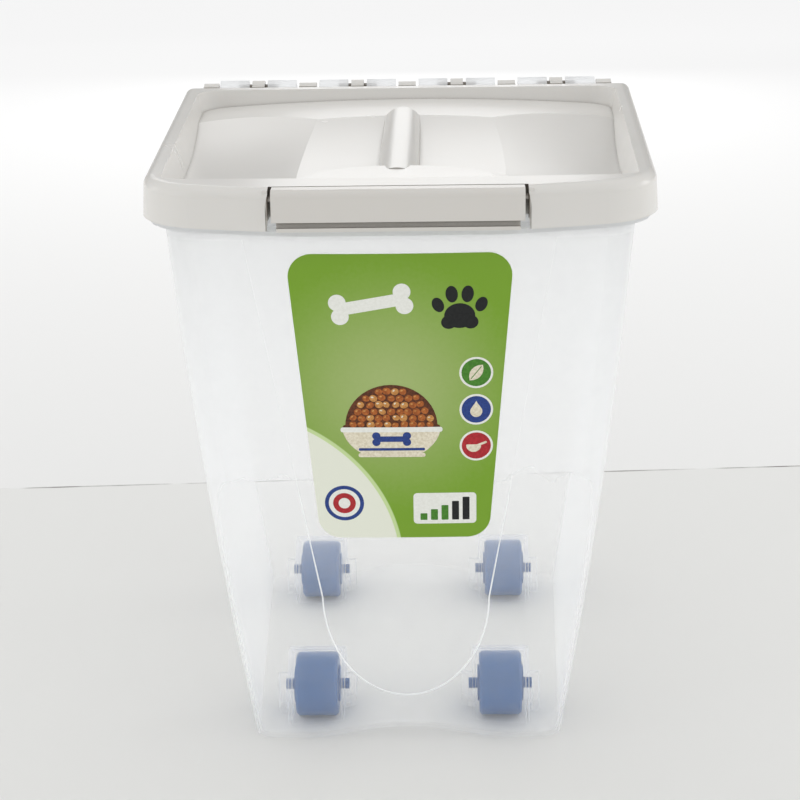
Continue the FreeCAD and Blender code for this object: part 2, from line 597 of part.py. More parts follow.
def window_roundings(shoulder_z):
    """Cutters that round the skirt's two upright edges beside the latch."""
    r, x = WINDOW_ROUNDING, LATCH_WINDOW_HALF
    surface_y = LID_PLAN.y_front + LID_PLAN.bow - math.sqrt(LID_PLAN.bow ** 2 - x ** 2)
    cutter = box(x - r, x + r, surface_y - 2 * r, surface_y + r, SKIRT_Z, LID_TOP_Z)
    cutter = cutter.cut(Part.makeCylinder(r, SKIRT_HEIGHT, V(x + r, surface_y + r, SKIRT_Z)))
    lean = math.degrees(math.atan(SKIRT_FLARE / (shoulder_z - SKIRT_Z)))
    cutter.rotate(V(x, surface_y, shoulder_z), V(1, 0, 0), lean)
    return [cutter, mirror_x(cutter)]


def make_lid():
    flared = LID_PLAN.inset(-SKIRT_FLARE, back=0.0)
    shoulder_z = LID_TOP_Z - LID_EDGE_RADIUS - LID_SHOULDER
    block = LID_PLAN.prism(shoulder_z, LID_TOP_Z)
    top_edges = []
    for edge in block.Edges:
        middle = edge.valueAt((edge.FirstParameter + edge.LastParameter) / 2)
        on_top = edge.BoundBox.ZMin > LID_TOP_Z - 0.01
        if on_top and middle.y < LID_BACK_Y - BACK_CORNER_RADIUS:
            top_edges.append(edge)
    block = block.makeFillet(LID_EDGE_RADIUS, top_edges)
    block = block.fuse(loft((flared, SKIRT_Z), (LID_PLAN, shoulder_z)))
    hollow = loft((flared.inset(SKIRT_WALL), SKIRT_Z), (LID_PLAN.inset(SKIRT_WALL), LID_TOP_Z))
    hollow = hollow.common(box(-FAR, FAR, -FAR, FAR, 0, LID_TOP_Z - LID_WALL))
    lid = block.cut(hollow.cut(panel_air(LID_WALL)))
    # the skirt is short along the back, past the lip's corners
    back_reach = LID_PLAN.half_back - LIP_INSET_SIDE + BACK_SKIRT_CLEARANCE
    lid = lid.cut(box(-back_reach, back_reach, LID_BACK_Y - BACK_CORNER_RADIUS, FAR, 0,
                      LID_TOP_Z - BACK_SKIRT_HEIGHT))
    lid = lid.cut(latch_bay()).fuse([latch_housing()]).cut(panel_air(0.0))
    lid = lid.cut(window_roundings(shoulder_z))
    lugs = [lid_lug(centre) for centre in GROUP_CENTRES]
    spacers = [lid_spacer(x0, x1) for x0, x1 in spacer_spans()]
    bore = cylinder_x(LATCH_PIN_RADIUS + PIN_CLEARANCE, LATCH_HALF,
                      LATCH_WINDOW_HALF + LATCH_PIN_BITE + PIN_END_GAP,
                      LATCH_AXIS_Y, LATCH_AXIS_Z)
    return fuse(lid, *lugs, *spacers).cut([bore, mirror_x(bore)])


def make_latch():
    """Flap with a rounded top edge, a face, a leg with a pull lip and two stub pins."""
    half = LATCH_HALF
    y0 = LATCH_FACE_Y
    low = LID_TOP_Z - LATCH_DROP
    top = LID_TOP_Z - LATCH_TOP_GAP
    y_top = LATCH_AXIS_Y + LATCH_TOP_REACH
    shell = box(-half, half, y0, y_top, low, top)
    edge = [e for e in shell.Edges if e.BoundBox.YMax < y0 + 0.01 and e.BoundBox.ZMin > top - 0.01]
    shell = shell.makeFillet(LATCH_EDGE_RADIUS, edge)
    inner = box(-half + LATCH_WALL, half - LATCH_WALL, y0 + LATCH_WALL, FAR, 0, top - LATCH_WALL)
    # the end walls are rounded about the latch axis, so that they swing clear of the trough
    swing = cylinder_x(LATCH_TROUGH - LATCH_SWING_GAP, -half, half, LATCH_AXIS_Y, LATCH_AXIS_Z)
    keep = fuse(box(-half, half, -FAR, LATCH_AXIS_Y, 0, FAR), swing)
    flap = shell.cut(inner).common(keep)
    leg_half = half - LATCH_LEG_INSET
    leg_low = LID_TOP_Z - LATCH_HOOK_DROP
    foot_y = y0 + FLANGE_FLAT_BACK - LATCH_FOOT_GAP
    leg_back = [(LATCH_AXIS_Y, top - LATCH_WALL / 2), (LATCH_AXIS_Y, LATCH_AXIS_Z - LATCH_LEG_BEND),
                (foot_y, leg_low)]
    leg_front = [(y - LATCH_LEG, z) for y, z in reversed(leg_back)]
    leg = extrude_x(leg_back + leg_front, -leg_half, leg_half)
    lip = box(-leg_half, leg_half, y0 + LATCH_LIP_INSET, foot_y - LATCH_LEG / 2,
              leg_low, leg_low + LATCH_LIP)
    pin = cylinder_x(LATCH_PIN_RADIUS, half - LATCH_EAR_DEPTH, LATCH_WINDOW_HALF + LATCH_PIN_BITE,
                     LATCH_AXIS_Y, LATCH_AXIS_Z)
    ear = cylinder_x(LATCH_EAR_RADIUS, half - LATCH_WALL, half, LATCH_AXIS_Y, LATCH_AXIS_Z)
    return fuse(flap, leg, lip, ear, mirror_x(ear), pin, mirror_x(pin))


def lip_plan():
    """Outside of the bin's upright lip."""
    return LID_PLAN.inset(LIP_INSET_SIDE, LIP_INSET_FRONT, LIP_INSET_BACK,
                          bow=WALL_TOP_BOW, r_front=LIP_CORNER)


def make_seal():
    """Seal ring under the lid's frame, over the bin's lip."""
    outer = lip_plan().inset(-SEAL_OVERHANG)
    z1 = LID_TOP_Z - LID_WALL
    hole = outer.inset(LIP_WALL + 2 * SEAL_OVERHANG)
    return outer.prism(z1 - SEAL_HEIGHT, z1).cut(hole.prism(z1 - SEAL_HEIGHT - 1.0, z1 + 1.0))


def make_label():
    """Thin printed sheet on the recessed front panel."""
    skin = wall_solid(LABEL_GAP + LABEL_THICKNESS, front_shift=PANEL_STEP).cut(
        wall_solid(LABEL_GAP, front_shift=PANEL_STEP))
    y0 = -FAR
    ring = [V(-LABEL_HALF_BOTTOM, y0, LABEL_BOTTOM_Z), V(LABEL_HALF_BOTTOM, y0, LABEL_BOTTOM_Z),
            V(LABEL_HALF_TOP, y0, LABEL_TOP_Z), V(-LABEL_HALF_TOP, y0, LABEL_TOP_Z)]
    sheet = Part.Face(Part.makePolygon(ring + ring[:1])).extrude(V(0, FAR + BASE_FRONT_Y + 20.0, 0))
    corners = [e for e in sheet.Edges if abs(e.BoundBox.XLength) < 0.01 and e.BoundBox.YLength > 50]
    sheet = sheet.makeFillet(LABEL_CORNER, corners)
    return skin.common(sheet)


def make_wheel(x, y):
    """Wheel with a chamfered tread, hub bosses and stub axles, turned as one piece."""
    half_profile = [(STUB_HALF, 0.0), (STUB_HALF, STUB_RADIUS), (HUB_HALF, STUB_RADIUS),
                    (HUB_HALF, HUB_RADIUS), (WHEEL_HALF_TREAD, HUB_RADIUS),
                    (WHEEL_HALF_TREAD, WHEEL_RADIUS - TREAD_CHAMFER),
                    (WHEEL_HALF_TREAD - TREAD_CHAMFER, WHEEL_RADIUS)]
    profile = half_profile + [(-along, radius) for along, radius in reversed(half_profile)]
    ring = [V(x + along, y, WHEEL_RADIUS + radius) for along, radius in profile]
    face = Part.Face(Part.makePolygon(ring + ring[:1]))
    return face.revolve(V(x, y, WHEEL_RADIUS), V(1, 0, 0), 360)


def build():
    os.makedirs("parts", exist_ok=True)
    pieces = {"bin_body": make_bin(), "lid": make_lid(), "front_latch": make_latch(),
              "lid_seal": make_seal(), "front_label": make_label()}
    for name, x, y in wheel_places():
        pieces[name] = make_wheel(x, y)
    for name, shape in pieces.items():
        print(name, shape.isValid(), len(shape.Solids), round(shape.Volume / 1000, 1), "cm3")
        shape.exportStep("parts/%s.step" % name)


build()
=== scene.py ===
"""Looks of the wheeled pet food bin: plastics, printed label, floor, lamps and camera.

Everything is in metres in the bin's own frame: +Z up, the front of the bin faces -Y, and the
floor is at Z = 0. Sizes that a maker would quote are written in millimetres and scaled by MM.
"""

from __future__ import annotations

import logging
import math
import random
from dataclasses import dataclass, field
from enum import Enum

import bpy
from mathutils import Matrix, Vector

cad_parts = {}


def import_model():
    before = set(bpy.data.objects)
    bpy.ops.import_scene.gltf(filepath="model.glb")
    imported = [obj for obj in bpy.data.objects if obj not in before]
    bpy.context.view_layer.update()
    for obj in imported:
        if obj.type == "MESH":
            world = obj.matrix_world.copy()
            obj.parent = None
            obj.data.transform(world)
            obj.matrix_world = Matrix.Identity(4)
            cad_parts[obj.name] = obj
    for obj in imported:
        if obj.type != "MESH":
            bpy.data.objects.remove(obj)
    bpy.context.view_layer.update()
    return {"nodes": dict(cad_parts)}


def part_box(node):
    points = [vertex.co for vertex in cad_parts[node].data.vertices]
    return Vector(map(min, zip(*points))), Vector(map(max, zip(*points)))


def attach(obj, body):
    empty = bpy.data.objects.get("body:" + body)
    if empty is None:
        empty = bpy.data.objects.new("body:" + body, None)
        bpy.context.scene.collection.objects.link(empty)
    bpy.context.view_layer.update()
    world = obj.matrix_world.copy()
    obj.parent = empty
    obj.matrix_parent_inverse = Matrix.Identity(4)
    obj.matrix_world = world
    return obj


LOG = logging.getLogger("pet_food_bin")
MM = 0.001
POLYPROPYLENE_IOR = 1.49
PRINT_SHINE = 0.35  # specular level of the label's film and inks, below the plastics' 0.5

Colour = tuple[float, float, float, float]
Links = dict[str, object]
Socket = bpy.types.NodeSocket


def linear(hex_code: str) -> Colour:
    """Turns an sRGB hex colour into the linear colour that shaders work in.

    Args:
        hex_code: A colour such as "#E4E2DA".

    Returns:
        Linear red, green, blue and an alpha of 1.
    """
    values = [int(hex_code[i : i + 2], 16) / 255 for i in (1, 3, 5)]
    red, green, blue = (v / 12.92 if v <= 0.04045 else ((v + 0.055) / 1.055) ** 2.4 for v in values)
    return red, green, blue, 1.0


def add_node(
    tree: bpy.types.NodeTree, kind: str, inputs: Links | None = None, **settings: object
) -> bpy.types.Node:
    """Adds one node, with its settings, its values and the links into it.

    Args:
        tree: The node tree that gets the node.
        kind: The node's type, such as "ShaderNodeMath".
        inputs: Socket name or number to a value or to another node's output socket.
        **settings: Properties of the node, such as operation="ADD".

    Returns:
        The new node.
    """
    node = tree.nodes.new(kind)
    for name, value in settings.items():
        setattr(node, name, value)
    for name, value in (inputs or {}).items():
        socket = node.inputs[int(name)] if name.isdigit() else node.inputs[name]
        if isinstance(value, bpy.types.NodeSocket):
            tree.links.new(value, socket)
        else:
            socket.default_value = value
    return node


def new_material(name: str) -> tuple[bpy.types.Material, bpy.types.NodeTree]:
    """Makes an empty node material.

    Args:
        name: The material's name.

    Returns:
        The material and its node tree.
    """
    material = bpy.data.materials.new(name)
    material.use_nodes = True
    material.node_tree.nodes.clear()
    return material, material.node_tree


def dress(piece: bpy.types.Object, material: bpy.types.Material) -> None:
    """Gives a piece one material in every slot.

    Args:
        piece: The object to dress.
        material: Its new material.
    """
    piece.data.materials.clear()
    piece.data.materials.append(material)


def choose(*pieces: bpy.types.Object) -> None:
    """Leaves only these objects selected, with the first one active.

    Args:
        *pieces: The objects to select.
    """
    bpy.ops.object.select_all(action="DESELECT")
    for piece in pieces:
        piece.select_set(True)
    bpy.context.view_layer.objects.active = pieces[0]


# ------------------------------------------------------------------ finishes
@dataclass(frozen=True)
class ClearPolypropylene:
    """Random-copolymer polypropylene, injection moulded: clear with a milky haze, glossy skins.

    To the eye each skin is a thin veil: things inside show through it, softened and paler. The
    veil is denser high up the wall, where a wall is seen along its face, and in the thick rim and
    hinge arms. Flow lines and a fine mottle from the mould keep it from looking like glass.
    """

    name: str = "clear_polypropylene"
    skin: str = "#F8F9FA"
    haze: float = 0.035
    upper_haze: float = 0.26
    haze_low: float = 85 * MM
    haze_high: float = 230 * MM
    rim_haze: float = 0.5
    rim_power: float = 2.2
    thick_haze: float = 0.42
    thick_low: float = 358 * MM
    thick_high: float = 366 * MM
    mottle: float = 0.05
    mottle_mm: float = 22.0
    glow: float = 0.55
    shadow_share: float = 0.35
    roughness: float = 0.32
    ripple_mm: float = 30.0
    ripple_depth_mm: float = 0.03
    ripple_strength: float = 0.5

    def haze_share(self, tree: bpy.types.NodeTree, place: Socket) -> Socket:
        """Gives how much of the light one skin scatters.

        Args:
            tree: The material's nodes.
            place: Object coordinates.

        Returns:
            The socket that carries the share, from 0 for clear to 1 for white.
        """
        facing = add_node(tree, "ShaderNodeLayerWeight", {"Blend": 0.5})
        edge = add_node(
            tree,
            "ShaderNodeMath",
            {"0": facing.outputs["Facing"], "1": self.rim_power},
            operation="POWER",
        )
        height = add_node(tree, "ShaderNodeSeparateXYZ", {"Vector": place})
        cooled = add_node(
            tree,
            "ShaderNodeMapRange",
            {
                "Value": height.outputs["Z"],
                "From Min": self.haze_low,
                "From Max": self.haze_high,
                "To Min": self.haze,
                "To Max": self.upper_haze,
            },
            interpolation_type="SMOOTHSTEP",
        )
        haze = add_node(
            tree,
            "ShaderNodeMapRange",
            {"Value": edge.outputs[0], "To Min": cooled.outputs[0], "To Max": self.rim_haze},
        )
        cloud = add_node(
            tree,
            "ShaderNodeTexNoise",
            {"Vector": place, "Scale": 1 / (self.mottle_mm * MM), "Detail": 4.0},
        )
        clouded = add_node(
            tree,
            "ShaderNodeMath",
            {"0": cloud.outputs["Fac"], "1": self.mottle, "2": haze.outputs[0]},
            operation="MULTIPLY_ADD",
        )
        thick = add_node(
            tree,
            "ShaderNodeMapRange",
            {
                "Value": height.outputs["Z"],
                "From Min": self.thick_low,
                "From Max": self.thick_high,
                "To Max": self.thick_haze,
            },
        )
        skin_haze = add_node(
            tree,
            "ShaderNodeMath",
            {"0": clouded.outputs[0], "1": thick.outputs[0]},
            operation="ADD",
            use_clamp=True,
        )
        # haze scatters mostly forward, so a lamp's light loses little on its way through
        rays = add_node(tree, "ShaderNodeLightPath")
        let_through = add_node(
            tree,
            "ShaderNodeMapRange",
            {"Value": rays.outputs["Is Shadow Ray"], "To Min": 1.0, "To Max": self.shadow_share},
        )
        milky = add_node(
            tree,
            "ShaderNodeMath",
            {"0": skin_haze.outputs[0], "1": let_through.outputs[0]},
            operation="MULTIPLY",
        )
        return milky.outputs[0]

    def build(self) -> bpy.types.Material:
        """Makes the milky see-through plastic; each skin scatters more light near its edge.

        Returns:
            The material.
        """
        material, tree = new_material(self.name)
        place = add_node(tree, "ShaderNodeTexCoord").outputs["Object"]
        milky = self.haze_share(tree, place)
        ripple = add_node(
            tree,
            "ShaderNodeTexNoise",
            {"Vector": place, "Scale": 1 / (self.ripple_mm * MM), "Detail": 1.0},
        )
        bump = add_node(
            tree,
            "ShaderNodeBump",
            {
                "Height": ripple.outputs["Fac"],
                "Strength": self.ripple_strength,
                "Distance": self.ripple_depth_mm * MM,
            },
        )
        plastic = add_node(
            tree,
            "ShaderNodeBsdfPrincipled",
            {
                "Base Color": linear(self.skin),
                "Roughness": self.roughness,
                "IOR": POLYPROPYLENE_IOR,
                "Alpha": milky,
                "Normal": bump.outputs[0],
            },
        )
        # light that comes from inside the bin glows through the haze
        clear = add_node(tree, "ShaderNodeBsdfTransparent")
        milk = add_node(tree, "ShaderNodeBsdfTranslucent", {"Color": linear(self.skin)})
        backlit = add_node(
            tree, "ShaderNodeMixShader", {"0": milky, "1": clear.outputs[0], "2": milk.outputs[0]}
        )
        skin = add_node(
            tree,
            "ShaderNodeMixShader",
            {"0": self.glow, "1": plastic.outputs[0], "2": backlit.outputs[0]},
        )
        add_node(tree, "ShaderNodeOutputMaterial", {"Surface": skin.outputs[0]})
        return material


@dataclass(frozen=True)
class MouldedPolypropylene:
    """Filled polypropylene, injection moulded in a finely blasted tool.

    To the eye it is opaque and satin, with soft wide highlights and a very faint grain; narrow gaps
    get painted shade. The grain is drawn coarser than a blasted tool's, so that it shows.
    """

    name: str
    skin: str
    roughness: float = 0.34
    grain_mm: float = 0.9
    grain_depth_mm: float = 0.012
    grain_strength: float = 0.35
    flow: float = 0.04
    flow_mm: float = 71.4286
    shine: float = 0.5
    subsurface: float = 0.12
    subsurface_reach: tuple[float, float, float] = (4 * MM, 3.5 * MM, 3 * MM)
    # painted shade: the dark tone that ambient occlusion mixes in where gaps are narrow
    painted_gap_shade: str | None = "#7A7268"
    gap_shade_reach: float = 7 * MM
    gap_shade_closed: float = 0.3
    gap_shade_open: float = 0.75

    def painted_gap_shade_tone(self, tree: bpy.types.NodeTree) -> Socket:
        """Gives the skin's colour with painted shade, darkened towards a dark tone where gaps are
        narrow.

        Args:
            tree: The material's nodes.

        Returns:
            The socket that carries the colour.
        """
        # painted shade: darker where ambient occlusion finds a narrow gap
        shelter = add_node(tree, "ShaderNodeAmbientOcclusion", {"Distance": self.gap_shade_reach})
        openness = add_node(
            tree,
            "ShaderNodeMapRange",
            {
                "Value": shelter.outputs["AO"],
                "From Min": self.gap_shade_closed,
                "From Max": self.gap_shade_open,
            },
        )
        tone = add_node(
            tree,
            "ShaderNodeMix",
            {"Factor": openness.outputs[0], "6": linear(self.painted_gap_shade), "7": linear(self.skin)},
            data_type="RGBA",
        )
        return tone.outputs[2]

    def build(self) -> bpy.types.Material:
        """Makes the satin plastic: a faint grain, uneven gloss, and painted shade in narrow gaps.

        Returns:
            The material.
        """
        material, tree = new_material(self.name)
        place = add_node(tree, "ShaderNodeTexCoord").outputs["Object"]
        grain = add_node(
            tree,
            "ShaderNodeTexNoise",
            {"Vector": place, "Scale": 1 / (self.grain_mm * MM), "Detail": 2.0},
        )
        flow = add_node(
            tree,
            "ShaderNodeTexNoise",
            {"Vector": place, "Scale": 1 / (self.flow_mm * MM), "Detail": 3.0},
        )
        gloss = add_node(
            tree,
            "ShaderNodeMapRange",
            {
                "Value": flow.outputs["Fac"],
                "To Min": self.roughness - self.flow,
                "To Max": self.roughness + self.flow,
            },
        )
        bump = add_node(
            tree,
            "ShaderNodeBump",
            {
                "Height": grain.outputs["Fac"],
                "Strength": self.grain_strength,
                "Distance": self.grain_depth_mm * MM,
            },
        )
        # a plastic with no painted gap shade is the same colour all over
        skin = self.painted_gap_shade_tone(tree) if self.painted_gap_shade else linear(self.skin)
        plastic = add_node(
            tree,
            "ShaderNodeBsdfPrincipled",
            {
                "Base Color": skin,
                "Roughness": gloss.outputs[0],
                "IOR": POLYPROPYLENE_IOR,
                "Specular IOR Level": self.shine,
                "Subsurface Weight": self.subsurface,
                "Subsurface Radius": self.subsurface_reach,
                "Normal": bump.outputs[0],
            },
        )
        add_node(tree, "ShaderNodeOutputMaterial", {"Surface": plastic.outputs[0]})
        return material


@dataclass(frozen=True)
class LabelGround:
    """Printed plastic film, stuck on as a label.

    To the eye it is flat and softly shiny: leaf green that is lightest behind the bowl, partly by
    the print and partly as a painted glare, a pale sweep in one lower corner, a faint print mottle
    and a plain white back.
    """

    name: str = "label_film_ground"
    # lightest green of the gradient: the print's tone with a painted glare in it
    light: str = "#A9BC78"
    deep: str = "#7AA42B"
    pale: str = "#ECEFE0"
    trim: str = "#C9DFA0"
    back: str = "#EFEFEC"
    # centre and reach of the lighter green: partly the print's fade, partly a painted glare
    gradient_and_glare_x: float = -8 * MM
    gradient_and_glare_z: float = 262 * MM
    gradient_and_glare_reach: float = 105 * MM
    sweep_x: float = -112 * MM
    sweep_z: float = 137 * MM
    sweep_radius: float = 109 * MM
    trim_width: float = 2.4 * MM
    edge_blur: float = 0.25 * MM
    roughness: float = 0.3
    mottle: float = 0.16
    mottle_mm: float = 2.5
    back_facing: float = 0.3

    def reach(self, tree: bpy.types.NodeTree, place: Socket, x: float, z: float) -> Socket:
        """Gives the distance in the label's face from one point.

        Args:
            tree: The material's nodes.
            place: Object coordinates.
            x: The point across the label, in metres.
            z: The point's height, in metres.

        Returns:
            The socket that carries the distance in metres.
        """
        flat = add_node(
            tree, "ShaderNodeVectorMath", {"0": place, "1": (1.0, 0.0, 1.0)}, operation="MULTIPLY"
        )
        away = add_node(
            tree,
            "ShaderNodeVectorMath",
            {"0": flat.outputs[0], "1": (x, 0.0, z)},
            operation="DISTANCE",
        )
        return away.outputs["Value"]

    def inside(self, tree: bpy.types.NodeTree, distance: Socket, radius: float) -> Socket:
        """Gives 1 within a radius and 0 beyond it, with a printed edge between.

        Args:
            tree: The material's nodes.
            distance: The distance in metres.
            radius: Where the edge lies, in metres.

        Returns:
            The socket that carries the share.
        """
        step = add_node(
            tree,
            "ShaderNodeMapRange",
            {
                "Value": distance,
                "From Min": radius - self.edge_blur,
                "From Max": radius + self.edge_blur,
                "To Min": 1.0,
                "To Max": 0.0,
            },
        )
        return step.outputs[0]

    def build(self) -> bpy.types.Material:
        """Makes the label's ground: the gradient, the sweep with its trim, and the plain back.

        Returns:
            The material.
        """
        material, tree = new_material(self.name)
        coordinates = add_node(tree, "ShaderNodeTexCoord")
        place = coordinates.outputs["Object"]
        # lighter green towards one spot: partly the print's fade, partly a painted glare
        glow = add_node(
            tree,
            "ShaderNodeMapRange",
            {
                "Value": self.reach(tree, place, self.gradient_and_glare_x, self.gradient_and_glare_z),
                "From Max": self.gradient_and_glare_reach,
            },
            interpolation_type="SMOOTHSTEP",
        )
        mottle = add_node(
            tree,
            "ShaderNodeTexNoise",
            {"Vector": place, "Scale": 1 / (self.mottle_mm * MM), "Detail": 3.0},
        )
        shade = add_node(
            tree,
            "ShaderNodeMath",
            {"0": mottle.outputs["Fac"], "1": self.mottle, "2": glow.outputs[0]},
            operation="MULTIPLY_ADD",
        )
        green = add_node(
            tree,
            "ShaderNodeMix",
            {"Factor": shade.outputs[0], "6": linear(self.light), "7": linear(self.deep)},
            data_type="RGBA",
        )
        sweep = self.reach(tree, place, self.sweep_x, self.sweep_z)
        trimmed = add_node(
            tree,
            "ShaderNodeMix",
            {
                "Factor": self.inside(tree, sweep, self.sweep_radius + self.trim_width),
                "6": green.outputs[2],
                "7": linear(self.trim),
            },
            data_type="RGBA",
        )
        front = add_node(
            tree,
            "ShaderNodeMix",
            {
                "Factor": self.inside(tree, sweep, self.sweep_radius),
                "6": trimmed.outputs[2],
                "7": linear(self.pale),
            },
            data_type="RGBA",
        )
        facing = add_node(tree, "ShaderNodeSeparateXYZ", {"Vector": coordinates.outputs["Normal"]})
        behind = add_node(
            tree,
            "ShaderNodeMath",
            {"0": facing.outputs["Y"], "1": self.back_facing},
            operation="GREATER_THAN",
        )
        film = add_node(
            tree,
            "ShaderNodeMix",
            {"Factor": behind.outputs[0], "6": front.outputs[2], "7": linear(self.back)},
            data_type="RGBA",
        )
        paint = add_node(
            tree,
            "ShaderNodeBsdfPrincipled",
            {
                "Base Color": film.outputs[2],
                "Roughness": self.roughness,
                "Specular IOR Level": PRINT_SHINE,
            },
        )
        add_node(tree, "ShaderNodeOutputMaterial", {"Surface": paint.outputs[0]})
        return material


@dataclass(frozen=True)
class PrintedInk:
    """Screen-printed ink: to the eye a flat, softly shiny colour, uneven where it was laid down."""

    name: str
    tone: str
    dark: str
    grain_mm: float = 1.6
    thin: float = 0.35
    full: float = 0.65
    roughness: float = 0.32

    def build(self) -> bpy.types.Material:
        """Makes the ink; its tone wanders between two near colours.

        Returns:
            The material.
        """
        material, tree = new_material(self.name)
        place = add_node(tree, "ShaderNodeTexCoord").outputs["Object"]
        grain = add_node(
            tree,
            "ShaderNodeTexNoise",
            {"Vector": place, "Scale": 1 / (self.grain_mm * MM), "Detail": 2.0},
        )
        spread = add_node(
            tree,
            "ShaderNodeMapRange",
            {"Value": grain.outputs["Fac"], "From Min": self.thin, "From Max": self.full},
        )
        tone = add_node(
            tree,
            "ShaderNodeMix",
            {"Factor": spread.outputs[0], "6": linear(self.dark), "7": linear(self.tone)},
            data_type="RGBA",
        )
        ink = add_node(
            tree,
            "ShaderNodeBsdfPrincipled",
            {
                "Base Color": tone.outputs[2],
                "Roughness": self.roughness,
                "Specular IOR Level": PRINT_SHINE,
            },
        )
        add_node(tree, "ShaderNodeOutputMaterial", {"Surface": ink.outputs[0]})
        return material


@dataclass(frozen=True)
class FloorPaper:
    """Matt painted board.

    To the eye it is pale and without shine, with a dark broken seam behind the bin and a board
    beyond it that gets lighter with distance.
    """

    name: str = "floor_board"
    near: str = "#DEDEDC"
    middle: str = "#E3E3E2"
    far: str = "#FAFAFA"
    far_y: float = 3.2
    seam: str = "#8A8784"
    edge_y: float = 0.366
    edge_slope: float = 0.0573
    edge_blur: float = 2 * MM
    seam_half: float = 1.3 * MM
    seam_break_mm: float = 60.0
    seam_gone: float = 0.36
    seam_whole: float = 0.62
    roughness: float = 0.9

    def build(self) -> bpy.types.Material:
        """Makes the floor's finish; its tone changes at the board's far edge, along the seam.

        Returns:
            The material.
        """
        material, tree = new_material(self.name)
        place = add_node(tree, "ShaderNodeTexCoord").outputs["Object"]
        axes = add_node(tree, "ShaderNodeSeparateXYZ", {"Vector": place})
        lean = add_node(
            tree,
            "ShaderNodeMath",
            {"0": axes.outputs["X"], "1": -self.edge_slope, "2": axes.outputs["Y"]},
            operation="MULTIPLY_ADD",
        )
        beyond = add_node(
            tree,
            "ShaderNodeMapRange",
            {
                "Value": lean.outputs[0],
                "From Min": self.edge_y - self.edge_blur,
                "From Max": self.edge_y + self.edge_blur,
            },
        )
        away = add_node(
            tree,
            "ShaderNodeMapRange",
            {"Value": axes.outputs["Y"], "From Min": self.edge_y, "From Max": self.far_y},
        )
        board_beyond = add_node(
            tree,
            "ShaderNodeMix",
            {"Factor": away.outputs[0], "6": linear(self.middle), "7": linear(self.far)},
            data_type="RGBA",
        )
        tone = add_node(
            tree,
            "ShaderNodeMix",
            {"Factor": beyond.outputs[0], "6": linear(self.near), "7": board_beyond.outputs[2]},
            data_type="RGBA",
        )
        on_seam = add_node(
            tree,
            "ShaderNodeMath",
            {"0": lean.outputs[0], "1": self.edge_y, "2": self.seam_half},
            operation="COMPARE",
        )
        gaps = add_node(
            tree,
            "ShaderNodeTexNoise",
            {"Vector": place, "Scale": 1 / (self.seam_break_mm * MM), "Detail": 4.0},
        )
        worn = add_node(
            tree,
            "ShaderNodeMapRange",
            {"Value": gaps.outputs["Fac"], "From Min": self.seam_gone, "From Max": self.seam_whole},
        )
        dark = add_node(
            tree,
            "ShaderNodeMath",
            {"0": on_seam.outputs[0], "1": worn.outputs[0]},
            operation="MULTIPLY",
        )
        board = add_node(
            tree,
            "ShaderNodeMix",
            {"Factor": dark.outputs[0], "6": tone.outputs[2], "7": linear(self.seam)},
            data_type="RGBA",
        )
        paint = add_node(
            tree,
            "ShaderNodeBsdfPrincipled",
            {
                "Base Color": board.outputs[2],
                "Roughness": self.roughness,
                "Specular IOR Level": 0.0,
            },
        )
        add_node(tree, "ShaderNodeOutputMaterial", {"Surface": paint.outputs[0]})
        return material


# ------------------------------------------------------------------ studio
@dataclass(frozen=True)
class Softbox:
    """One flat area lamp, aimed at a point."""

    name: str
    place: tuple[float, float, float]
    aim: tuple[float, float, float]
    wide: float
    high: float
    watts: float

    def build(self) -> bpy.types.Object:
        """Adds the lamp to the scene.

        Returns:
            The lamp's object.
        """
        bpy.ops.object.light_add(type="AREA", location=self.place)
        lamp = bpy.context.object
        lamp.name = self.name
        lamp.data.shape = "RECTANGLE"
        lamp.data.size = self.wide
        lamp.data.size_y = self.high
        lamp.data.energy = self.watts
        aim = Vector(self.aim) - Vector(self.place)
        lamp.rotation_euler = aim.to_track_quat("-Z", "Y").to_euler()
        return lamp


